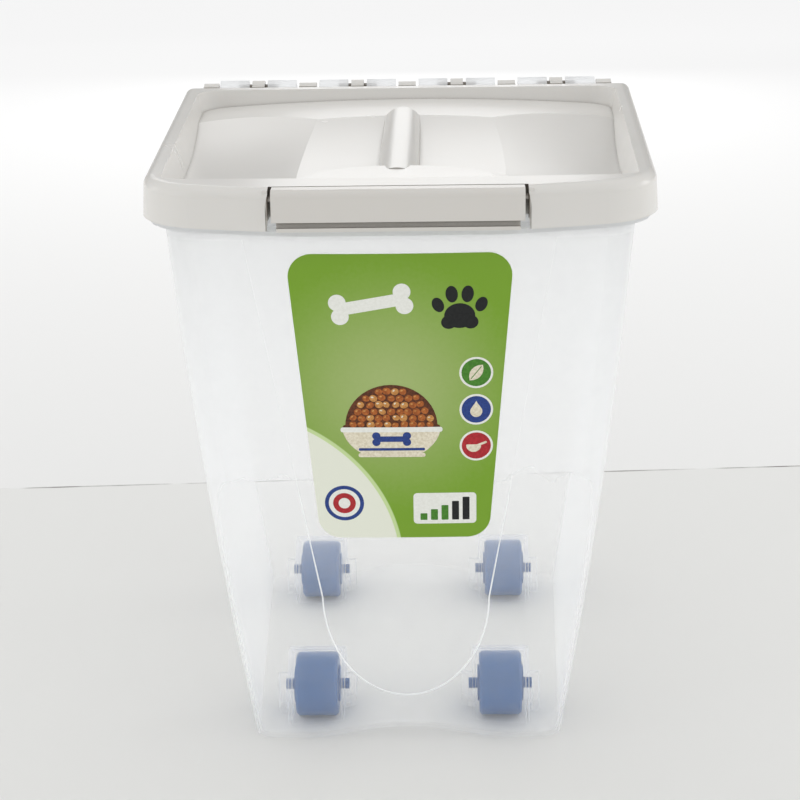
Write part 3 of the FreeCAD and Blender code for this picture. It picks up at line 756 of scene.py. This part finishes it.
@dataclass
class Studio:
    """Pale floor, soft lamps and the camera."""

    floor_half: float = 9.0
    world_tone: str = "#FFFFFF"
    front_level: float = 0.88
    back_level: float = 1.03
    mirror_level: float = 0.06
    camera_place: tuple[float, float, float] = (25.0 * MM, -1279.5 * MM, 631.24 * MM)
    pitch: float = math.radians(18.66)
    yaw: float = math.radians(-1.35)
    roll: float = math.radians(0.95)
    lens: float = 85.5
    sensor: float = 36.0
    sight: float = 50.0
    clear_skins: int = 32
    lamps: list[Softbox] = field(
        default_factory=lambda: [
            Softbox("back_softbox", (0.0, 2.6, 0.85), (0.0, 0.0, 0.3), 0.7, 1.1, 3.6),
            Softbox("upper_left_softbox", (-0.8, 2.6, 1.6), (0.0, 0.0, 0.3), 0.7, 0.8, 3.0),
            Softbox("left_softbox", (-2.2, 0.6, 0.7), (0.0, 0.0, 0.2), 0.8, 0.8, 2.5),
            Softbox("right_softbox", (2.2, 0.6, 0.7), (0.0, 0.0, 0.2), 0.8, 0.8, 6.0),
            Softbox("left_strip", (-2.0, -0.9, 0.8), (0.0, 0.0, 0.3), 1.2, 1.2, 4.0),
            Softbox("right_strip", (2.0, -0.9, 0.8), (0.0, 0.0, 0.3), 1.2, 1.2, 3.0),
        ]
    )

    def build_world(self) -> None:
        """Sets a white surround, brightest behind the bin, that glossy skins mirror much dimmer."""
        world = bpy.data.worlds.new("studio_surround")
        bpy.context.scene.world = world
        world.use_nodes = True
        tree = world.node_tree
        tree.nodes.clear()
        place = add_node(tree, "ShaderNodeTexCoord").outputs["Generated"]
        axes = add_node(tree, "ShaderNodeSeparateXYZ", {"Vector": place})
        level = add_node(
            tree,
            "ShaderNodeMapRange",
            {
                "Value": axes.outputs["Y"],
                "From Min": -1.0,
                "To Min": self.front_level,
                "To Max": self.back_level,
            },
        )
        rays = add_node(tree, "ShaderNodeLightPath")
        seen = add_node(
            tree,
            "ShaderNodeMix",
            {
                "Factor": rays.outputs["Is Glossy Ray"],
                "2": level.outputs[0],
                "3": self.mirror_level,
            },
            data_type="FLOAT",
        )
        light = add_node(
            tree,
            "ShaderNodeBackground",
            {"Color": linear(self.world_tone), "Strength": seen.outputs[0]},
        )
        add_node(tree, "ShaderNodeOutputWorld", {"Surface": light.outputs[0]})

    def build_floor(self) -> bpy.types.Object:
        """Lays the floor.

        Returns:
            The floor's object.
        """
        bpy.ops.object.select_all(action="DESELECT")
        bpy.ops.mesh.primitive_plane_add(size=2 * self.floor_half)
        floor = bpy.context.object
        floor.name = "studio_floor"
        dress(floor, FloorPaper().build())
        return floor

    def build_camera(self) -> bpy.types.Object:
        """Sets the camera from its place and its three angles.

        Returns:
            The camera's object, which is also the scene's camera.
        """
        forward = Vector(
            (
                math.sin(self.yaw) * math.cos(self.pitch),
                math.cos(self.yaw) * math.cos(self.pitch),
                -math.sin(self.pitch),
            )
        )
        level = Vector((math.cos(self.yaw), -math.sin(self.yaw), 0.0))
        upright = level.cross(forward)
        across = level * math.cos(self.roll) - upright * math.sin(self.roll)
        up = level * math.sin(self.roll) + upright * math.cos(self.roll)
        bpy.ops.object.camera_add()
        camera = bpy.context.object
        camera.name = "studio_camera"
        turn = Matrix((across, up, -forward)).transposed()
        camera.matrix_world = Matrix.Translation(self.camera_place) @ turn.to_4x4()
        camera.data.lens = self.lens
        camera.data.sensor_width = self.sensor
        camera.data.clip_end = self.sight
        bpy.context.scene.camera = camera
        return camera

    def build(self) -> None:
        """Builds the whole studio and reports it."""
        self.build_world()
        self.build_floor()
        for lamp in self.lamps:
            lamp.build()
        self.build_camera()
        bpy.context.scene.view_settings.view_transform = "Standard"
        # a ray that grazes the clear bin passes many skins before it reaches the floor
        bpy.context.scene.cycles.transparent_max_bounces = self.clear_skins
        LOG.info("studio: floor, %d lamps and camera", len(self.lamps))


# ------------------------------------------------------------------ the bin
@dataclass
class BinFinishes:
    """Finishes of the carried-over solids, and of the painted highlight along the front panel's
    step.
    """

    lid: MouldedPolypropylene = MouldedPolypropylene(
        "lid_polypropylene", "#DDDBD7", 0.26, shine=0.4
    )
    # the latch is the lid's plastic painted a little darker: painted shade on its face
    latch: MouldedPolypropylene = MouldedPolypropylene(
        "latch_polypropylene_painted_shade", "#D6D3CE", 0.26, shine=0.4
    )
    wheel: MouldedPolypropylene = MouldedPolypropylene(
        "wheel_polypropylene", "#065797", 0.36, subsurface=0.0, painted_gap_shade=None
    )
    # moulded as the plastics are, and to the eye duller, with hardly a highlight
    seal: MouldedPolypropylene = MouldedPolypropylene("seal_rubber", "#DAD9D4", 0.6)
    label: LabelGround = LabelGround()
    shell: ClearPolypropylene = ClearPolypropylene()
    # painted highlight: a milky white tube that stands in for the bright line of the panel's step
    edge: ClearPolypropylene = ClearPolypropylene(
        "painted_step_highlight", haze=0.6, upper_haze=0.6, rim_haze=0.9
    )

    def dress(self, nodes: dict[str, bpy.types.Object]) -> None:
        """Dresses every carried-over node.
        """
        finishes = {
            "bin_body": self.shell,
            "lid": self.lid,
            "front_latch": self.latch,
            "lid_seal": self.seal,
            "front_label": self.label,
        }
        wheel = self.wheel.build()
        for name, node in nodes.items():
            material = wheel if name.startswith("wheel") else finishes[name].build()
            dress(node, material)
            LOG.info("dressed %s", name)


@dataclass(frozen=True)
class PanelStepHighlight:
    """Painted highlight: a milky tube along the front panel's step, a round foot and two sides.

    It stands in for the step's bright line, and thins out towards its upper ends, where the
    panel's step fades to the eye.
    """

    shell: bpy.types.Object
    finish: ClearPolypropylene
    body: str = "bin"
    slot: str = "bin_plastic"
    half_low: float = 54.3 * MM
    round_z: float = 112 * MM
    low_z: float = 37.2 * MM
    lean: float = 0.164
    top_z: float = 200 * MM
    fade: float = 70 * MM
    highlight_radius: float = 0.5 * MM
    highlight_steps: int = 2
    round_sides: int = 96
    strip: float = 6 * MM
    stand_off: float = 60 * MM

    def outline(self) -> bpy.types.Object:
        """Draws the edge as a chain in front of the wall.

        Returns:
            The chain, without faces.
        """
        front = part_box("bin_body")[0][1] - self.stand_off
        bpy.ops.mesh.primitive_circle_add(
            vertices=self.round_sides,
            radius=1.0,
            fill_type="NOTHING",
            location=(0.0, front, self.round_z),
            rotation=(math.pi / 2, 0.0, 0.0),
        )
        chain = bpy.context.object
        chain.name = "panel_step_highlight_tube"
        chain.scale = (self.half_low, self.round_z - self.low_z, 1.0)
        choose(chain)
        bpy.ops.object.transform_apply(location=True, rotation=True, scale=True)
        bpy.ops.object.mode_set(mode="EDIT")
        bpy.ops.mesh.select_all(action="SELECT")
        bpy.ops.mesh.bisect(
            plane_co=(0.0, 0.0, self.round_z), plane_no=(0.0, 0.0, 1.0), clear_outer=True
        )
        rise = self.top_z - self.round_z
        for side in (-1, 1):
            bpy.ops.mesh.select_all(action="DESELECT")
            bpy.ops.object.mode_set(mode="OBJECT")
            end = max(chain.data.vertices, key=lambda vertex: side * vertex.co.x)
            end.select = True
            bpy.ops.object.mode_set(mode="EDIT")
            bpy.ops.mesh.extrude_region_move(
                TRANSFORM_OT_translate={"value": (side * self.lean * rise, 0.0, rise)}
            )
        z = self.round_z + self.strip
        while z < self.top_z:
            bpy.ops.mesh.select_all(action="SELECT")
            bpy.ops.mesh.bisect(plane_co=(0.0, 0.0, z), plane_no=(0.0, 0.0, 1.0))
            z += self.strip
        bpy.ops.object.mode_set(mode="OBJECT")
        return chain

    def build(self) -> bpy.types.Object:
        """Lays the chain on the wall and gives it its round section.

        Returns:
            The finished highlight tube.
        """
        highlight_tube = self.outline()
        wrap = highlight_tube.modifiers.new("lay", "SHRINKWRAP")
        wrap.wrap_method = "PROJECT"
        wrap.use_project_y = True
        wrap.target = self.shell
        bpy.ops.object.modifier_apply(modifier=wrap.name)
        bpy.ops.object.convert(target="CURVE")
        highlight_tube.data.bevel_depth = self.highlight_radius
        highlight_tube.data.bevel_resolution = self.highlight_steps
        for spline in highlight_tube.data.splines:
            for knot in spline.points:
                knot.radius = min(1.0, (self.top_z - knot.co.z) / self.fade)
        bpy.ops.object.convert(target="MESH")
        highlight_tube = bpy.context.object
        bpy.ops.object.shade_smooth()
        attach(highlight_tube, self.body)
        dress(highlight_tube, self.finish.build())
        LOG.info("laid %s", highlight_tube.name)
        return highlight_tube


class Ink(Enum):
    """The label's inks: name, tone and the darker tone it wanders to."""

    BLACK = ("black", "#191B1C", "#111314")
    WHITE = ("white", "#F1F2EC", "#EAEBE4")
    CREAM = ("cream", "#EEE7D3", "#D9CFB6")
    TAN = ("tan", "#D39A58", "#B87A3C")
    ORANGE = ("orange", "#B96A2E", "#934C1E")
    BROWN = ("brown", "#6B3A1E", "#4A2411")
    BLUE = ("blue", "#2A4690", "#213A7C")
    RED = ("red", "#BA2A33", "#A32029")
    LEAF = ("leaf", "#4C8A2C", "#3F7A22")


# Rows of corners near an oval's tip: from and to which share of its half height a row lies, and
# how much of the tip's pull it follows.
TIP_ROWS = ((0.995, 2.0, 1.0), (0.95, 0.995, 0.45), (0.86, 0.95, 0.2))


@dataclass
class LabelPrint:
    """Artwork of the front label: a bowl of kibble, a bone, a paw and plain round badges.

    Each motif is cut from flat discs and plates in the label's plan, X across and Z up. All the
    shapes of one ink on one layer are joined, pressed on the label's face and given ink thickness.
    """

    label: bpy.types.Object
    body: str = "bin"
    slot: str = "label_print"
    stand_off: float = 60 * MM
    first_gap: float = 0.05 * MM
    layer_gap: float = 0.04 * MM
    ink_depth: float = 0.02 * MM
    strip: float = 6 * MM
    corner_steps: int = 5
    seed: int = 25
    kibble_pitch: float = 5.3
    row_share: float = 0.87
    front_y: float = 0.0
    shapes: dict[tuple[Ink, float], list[bpy.types.Object]] = field(default_factory=dict)

    # -------------------------------------------------------- flat shapes
    def keep(self, ink: Ink, layer: float) -> bpy.types.Object:
        """Files the shape that was just added under its ink and layer.

        Args:
            ink: The shape's ink.
            layer: 0 lies on the label, each next one over it, and parts of one between them.

        Returns:
            The shape.
        """
        shape = bpy.context.object
        self.shapes.setdefault((ink, layer), []).append(shape)
        return shape

    def disc(
        self,
        ink: Ink,
        layer: float,
        x: float,
        z: float,
        radius: float,
        tall: float = 1.0,
        turn: float = 0.0,
        sides: int = 32,
    ) -> bpy.types.Object:
        """Adds a round or oval shape.

        Args:
            ink: The shape's ink.
            layer: Its layer.
            x: Its centre across the label, in millimetres.
            z: Its centre's height, in millimetres.
            radius: Its half width, in millimetres.
            tall: Its height as a share of its width.
            turn: Its turn in the label's plane, in degrees.
            sides: Its corners.

        Returns:
            The shape.
        """
        bpy.ops.mesh.primitive_circle_add(
            vertices=sides,
            radius=radius * MM,
            fill_type="NGON",
            location=(x * MM, self.front_y, z * MM),
            rotation=(math.pi / 2, math.radians(turn), 0.0),
        )
        bpy.context.object.scale = (1.0, tall, 1.0)
        return self.keep(ink, layer)

    def plate(
        self,
        ink: Ink,
        layer: float,
        x: float,
        z: float,
        wide: float,
        high: float,
        corner: float,
        turn: float = 0.0,
    ) -> bpy.types.Object:
        """Adds a rectangle with rounded corners.

        Args:
            ink: The shape's ink.
            layer: Its layer.
            x: Its centre across the label, in millimetres.
            z: Its centre's height, in millimetres.
            wide: Its width, in millimetres.
            high: Its height, in millimetres.
            corner: The radius of its corners, in millimetres.
            turn: Its turn in the label's plane, in degrees.

        Returns:
            The shape.
        """
        bpy.ops.mesh.primitive_plane_add(
            size=1.0,
            location=(x * MM, self.front_y, z * MM),
            rotation=(math.pi / 2, math.radians(turn), 0.0),
        )
        shape = self.keep(ink, layer)
        shape.scale = (wide * MM, high * MM, 1.0)
        # the plate's own size goes into its mesh first, so that its corners come out round
        choose(shape)
        bpy.ops.object.transform_apply(location=False, rotation=False, scale=True)
        bpy.ops.object.mode_set(mode="EDIT")
        bpy.ops.mesh.select_all(action="SELECT")
        bpy.ops.mesh.bevel(
            offset=corner * MM,
            offset_type="OFFSET",
            segments=self.corner_steps,
            affect="VERTICES",
        )
        bpy.ops.object.mode_set(mode="OBJECT")
        return shape

    def trim(self, shape: bpy.types.Object, z: float, keep_below: bool) -> None:
        """Cuts a shape straight across at a height and drops one side.

        Args:
            shape: The shape.
            z: The height of the cut, in millimetres.
            keep_below: Whether the part under the cut stays.
        """
        choose(shape)
        bpy.ops.object.mode_set(mode="EDIT")
        bpy.ops.mesh.select_all(action="SELECT")
        bpy.ops.mesh.bisect(
            plane_co=(0.0, 0.0, z * MM),
            plane_no=(0.0, 0.0, 1.0),
            clear_outer=keep_below,
            clear_inner=not keep_below,
        )
        bpy.ops.object.mode_set(mode="OBJECT")

    def point(self, shape: bpy.types.Object, pull: float, both_ends: bool = False) -> None:
        """Draws the top of an oval out to a point, and its foot too if asked.

        Args:
            shape: The oval, made by disc().
            pull: How far the tip moves, as a share of the oval's height.
            both_ends: Whether the foot is drawn out as well.
        """
        choose(shape)
        top = max(vertex.co.y for vertex in shape.data.vertices)
        for end in (1.0, -1.0) if both_ends else (1.0,):
            for low, high, share in TIP_ROWS:
                bpy.ops.object.mode_set(mode="EDIT")
                bpy.ops.mesh.select_all(action="DESELECT")
                bpy.ops.object.mode_set(mode="OBJECT")
                for vertex in shape.data.vertices:
                    vertex.select = low * top <= end * vertex.co.y < high * top
                bpy.ops.object.mode_set(mode="EDIT")
                bpy.ops.transform.translate(
                    value=(0.0, end * pull * top * share, 0.0), orient_type="LOCAL"
                )
                bpy.ops.object.mode_set(mode="OBJECT")

    # -------------------------------------------------------- motifs
    def paw(self, ink: Ink, layer: float, x: float, z: float, size: float) -> None:
        """Prints a paw: a broad pad with two lobes, and four toes over it.

        Args:
            ink: Its ink.
            layer: Its layer.
            x: Its centre across the label, in millimetres.
            z: The pad's height, in millimetres.
            size: The pad's half width, in millimetres.
        """
        self.disc(ink, layer, x, z, size * 0.86, 0.86)
        # a lobe of the pad, an inner toe and an outer toe: layer, place, half width, height, turn
        parts = (
            (layer + 0.3, 0.58, -0.36, 0.46, 0.9, 20),
            (layer, 0.44, 1.28, 0.34, 1.45, 6),
            (layer, 1.2, 0.66, 0.32, 1.4, 24),
        )
        for side in (-1, 1):
            for level, out, up, half, tall, turn in parts:
                self.disc(
                    ink, level, x + side * out * size, z + up * size, size * half, tall, side * turn
                )

    def bone(self, ink: Ink, layer: float, x: float, z: float, length: float, turn: float) -> None:
        """Prints a bone: a bar with two knuckles at each end.

        Args:
            ink: Its ink.
            layer: Its layer.
            x: Its centre across the label, in millimetres.
            z: Its centre's height, in millimetres.
            length: The bar's length, in millimetres.
            turn: Its turn in the label's plane, in degrees.
        """
        along = Vector((math.cos(math.radians(turn)), -math.sin(math.radians(turn))))
        across = Vector((-along.y, along.x))
        knuckle = length * 0.135
        self.plate(ink, layer, x, z, length, length * 0.2, length * 0.02, turn)
        for end in (-1, 1):
            for side in (-1, 1):
                spot = along * (end * length * 0.5) + across * (side * knuckle * 0.85)
                self.disc(ink, layer + 0.45 + 0.15 * side, x + spot.x, z + spot.y, knuckle)

    def bowl(self, x: float, z: float, half: float) -> None:
        """Prints the heaped bowl: kibble over a dark ground, then the bowl in front of it.

        Args:
            x: The bowl's centre across the label, in millimetres.
            z: The height of its rim, in millimetres.
            half: Half its width at the rim, in millimetres.
        """
        heap_half, heap_high = half * 0.93, half * 0.92
        heap = self.disc(Ink.BROWN, 0, x, z, heap_half, heap_high / heap_half, sides=48)
        self.trim(heap, z, keep_below=False)
        self.disc(Ink.BROWN, 0.3, x, z, half * 0.985, 0.13)
        draw = random.Random(self.seed)
        pitch = self.kibble_pitch
        rows = int(heap_high / (self.row_share * pitch))
        for row in range(rows):
            height = (row + 0.25) * self.row_share * pitch
            reach = heap_half * math.sqrt(max(0.0, 1 - ((height + 1.2) / heap_high) ** 2)) - 1.6
            count = max(1, round(2 * reach / pitch))
            for index in range(count):
                across = (index - (count - 1) / 2) * pitch + draw.uniform(-0.5, 0.5)
                lift = z + height + draw.uniform(-0.4, 0.4)
                ink = draw.choice((Ink.ORANGE, Ink.ORANGE, Ink.TAN))
                size = draw.uniform(2.25, 2.65)
                turn = draw.uniform(-40, 40)
                # each row lies over the one behind it, and every second kibble over its neighbours
                layer = 2.0 - (row + 1 - index % 2 / 2) / (rows + 1)
                tall = draw.uniform(0.8, 1.0)
                self.disc(ink, layer, x + across, lift, size, tall, turn, sides=14)
                light = Ink.CREAM if ink is Ink.TAN else Ink.TAN
                # the light spot on a kibble lies to its upper left
                self.disc(
                    light, 2, x + across - 0.7, lift + 0.75, size * 0.36, 0.6, turn - 20, sides=10
                )
        body = self.disc(Ink.CREAM, 3, x, z + 1.0, half, 0.8, sides=56)
        self.trim(body, z - 1.6, keep_below=True)
        self.trim(body, z - half * 0.62, keep_below=False)
        self.plate(Ink.CREAM, 3.3, x, z - half * 0.64, half * 1.36, half * 0.09, half * 0.04)
        self.plate(Ink.WHITE, 4, x, z - 2.2, half * 2.06, 3.4, 1.5)
        self.plate(Ink.BLUE, 4, x, z - half * 0.51, half * 1.34, 1.8, 0.6)
        self.bone(Ink.BLUE, 4, x, z - half * 0.28, half * 0.62, 0.0)

    def badges(self, x: float, top_z: float, step: float, radius: float) -> None:
        """Prints three round badges in a column: a leaf, a drop and a scoop.

        Args:
            x: The column's place across the label, in millimetres.
            top_z: The first badge's height, in millimetres.
            step: From one badge to the next, in millimetres.
            radius: A badge's radius, in millimetres.
        """
        for index, ground in enumerate((Ink.LEAF, Ink.BLUE, Ink.RED)):
            z = top_z - index * step
            self.disc(Ink.WHITE, 0, x, z, radius)
            self.disc(ground, 1, x, z, radius * 0.87)
        leaf = self.disc(Ink.CREAM, 2, x, top_z, radius * 0.34, 1.5, 38.0, sides=24)
        self.point(leaf, 0.35, both_ends=True)
        self.plate(Ink.LEAF, 3, x, top_z, radius * 0.05, radius * 1.0, radius * 0.02, 38.0)
        middle = top_z - step - radius * 0.12
        drop = self.disc(Ink.CREAM, 2, x, middle, radius * 0.36, 1.05, sides=24)
        self.point(drop, 0.85)
        low = top_z - 2 * step
        cup = self.disc(Ink.CREAM, 2, x - radius * 0.16, low, radius * 0.44, 0.95)
        self.trim(cup, low + radius * 0.08, keep_below=True)
        self.plate(
            Ink.CREAM,
            2.3,
            x + radius * 0.32,
            low + radius * 0.12,
            radius * 0.66,
            radius * 0.14,
            radius * 0.06,
            -22.0,
        )

    def ring_badge(self, x: float, z: float, radius: float) -> None:
        """Prints plain rings, one inside the other.

        Args:
            x: Their centre across the label, in millimetres.
            z: Their centre's height, in millimetres.
            radius: The outer ring's radius, in millimetres.
        """
        for layer, (ink, share) in enumerate(
            ((Ink.BLUE, 1.0), (Ink.WHITE, 0.8), (Ink.RED, 0.58), (Ink.WHITE, 0.3))
        ):
            self.disc(ink, layer, x, z, radius * share, sides=40)

    def gauge(self, x: float, z: float, wide: float, high: float) -> None:
        """Prints a white panel with a row of rising bars.

        Args:
            x: The panel's centre across the label, in millimetres.
            z: Its centre's height, in millimetres.
            wide: Its width, in millimetres.
            high: Its height, in millimetres.
        """
        self.plate(Ink.WHITE, 0, x, z, wide, high, 2.5)
        bars = 5
        pitch = wide * 0.84 / bars
        for index in range(bars):
            tall = high * (0.22 + 0.13 * index)
            ink = Ink.LEAF if index < 3 else Ink.BLACK
            across = x + (index - (bars - 1) / 2) * pitch
            self.plate(ink, 1, across, z - high * 0.38 + tall / 2, pitch * 0.66, tall, 0.5)

    # -------------------------------------------------------- pressing
    def press(self, layer: float, shapes: list[bpy.types.Object]) -> bpy.types.Object:
        """Joins the shapes of one ink and layer and lays them on the label's face.

        Args:
            layer: Their layer.
            shapes: The flat shapes.

        Returns:
            The pressed shapes as one object.
        """
        choose(*shapes)
        if len(shapes) > 1:
            bpy.ops.object.join()
        piece = bpy.context.object
        bpy.ops.object.transform_apply(location=True, rotation=True, scale=True)
        low, high = (Vector(corner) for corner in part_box("front_label"))
        bpy.ops.object.mode_set(mode="EDIT")
        x = low.x
        while x < high.x:
            bpy.ops.mesh.select_all(action="SELECT")
            bpy.ops.mesh.bisect(plane_co=(x, 0.0, 0.0), plane_no=(1.0, 0.0, 0.0))
            x += self.strip
        bpy.ops.object.mode_set(mode="OBJECT")
        wrap = piece.modifiers.new("press", "SHRINKWRAP")
        wrap.wrap_method = "PROJECT"
        wrap.use_project_y = True
        wrap.target = self.label
        bpy.ops.object.modifier_apply(modifier=wrap.name)
        gap = self.first_gap + layer * self.layer_gap
        bpy.ops.object.mode_set(mode="EDIT")
        bpy.ops.mesh.select_all(action="SELECT")
        bpy.ops.transform.translate(value=(0.0, -gap, 0.0))
        bpy.ops.object.mode_set(mode="OBJECT")
        depth = piece.modifiers.new("ink_depth", "SOLIDIFY")
        depth.thickness = self.ink_depth
        depth.offset = -1.0
        bpy.ops.object.modifier_apply(modifier=depth.name)
        return piece

    def build(self) -> list[bpy.types.Object]:
        """Prints the whole label.

        Returns:
            The printed pieces.
        """
        low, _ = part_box("front_label")
        self.front_y = low[1] - self.stand_off
        self.bowl(x=-7.0, z=236.0, half=31.0)
        self.bone(Ink.WHITE, 0, x=-18.0, z=318.0, length=40.0, turn=-10.0)
        self.paw(Ink.BLACK, 0, x=36.0, z=310.0, size=11.0)
        self.badges(x=46.0, top_z=272.0, step=25.0, radius=10.5)
        self.ring_badge(x=-38.0, z=182.0, radius=12.5)
        self.gauge(x=26.0, z=178.0, wide=40.0, high=22.0)
        pieces = []
        for ink in Ink:
            pressed = [
                self.press(layer, shapes)
                for (owner, layer), shapes in self.shapes.items()
                if owner is ink
            ]
            choose(*pressed)
            if len(pressed) > 1:
                bpy.ops.object.join()
            piece = bpy.context.object
            piece.name = f"label_ink_{ink.value[0]}"
            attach(piece, self.body)
            dress(piece, PrintedInk(piece.name, *ink.value[1:]).build())
            LOG.info("printed %s", piece.name)
            pieces.append(piece)
        return pieces


def main() -> None:
    """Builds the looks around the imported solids."""
    logging.basicConfig(level=logging.INFO, format="%(name)s: %(message)s")
    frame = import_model()
    nodes = frame["nodes"]
    finishes = BinFinishes()
    finishes.dress(nodes)
    # painted highlight: a milky tube along the front panel's step
    PanelStepHighlight(nodes["bin_body"], finishes.edge).build()
    LabelPrint(nodes["front_label"]).build()
    Studio().build()


if __name__ == "__main__":
    main()
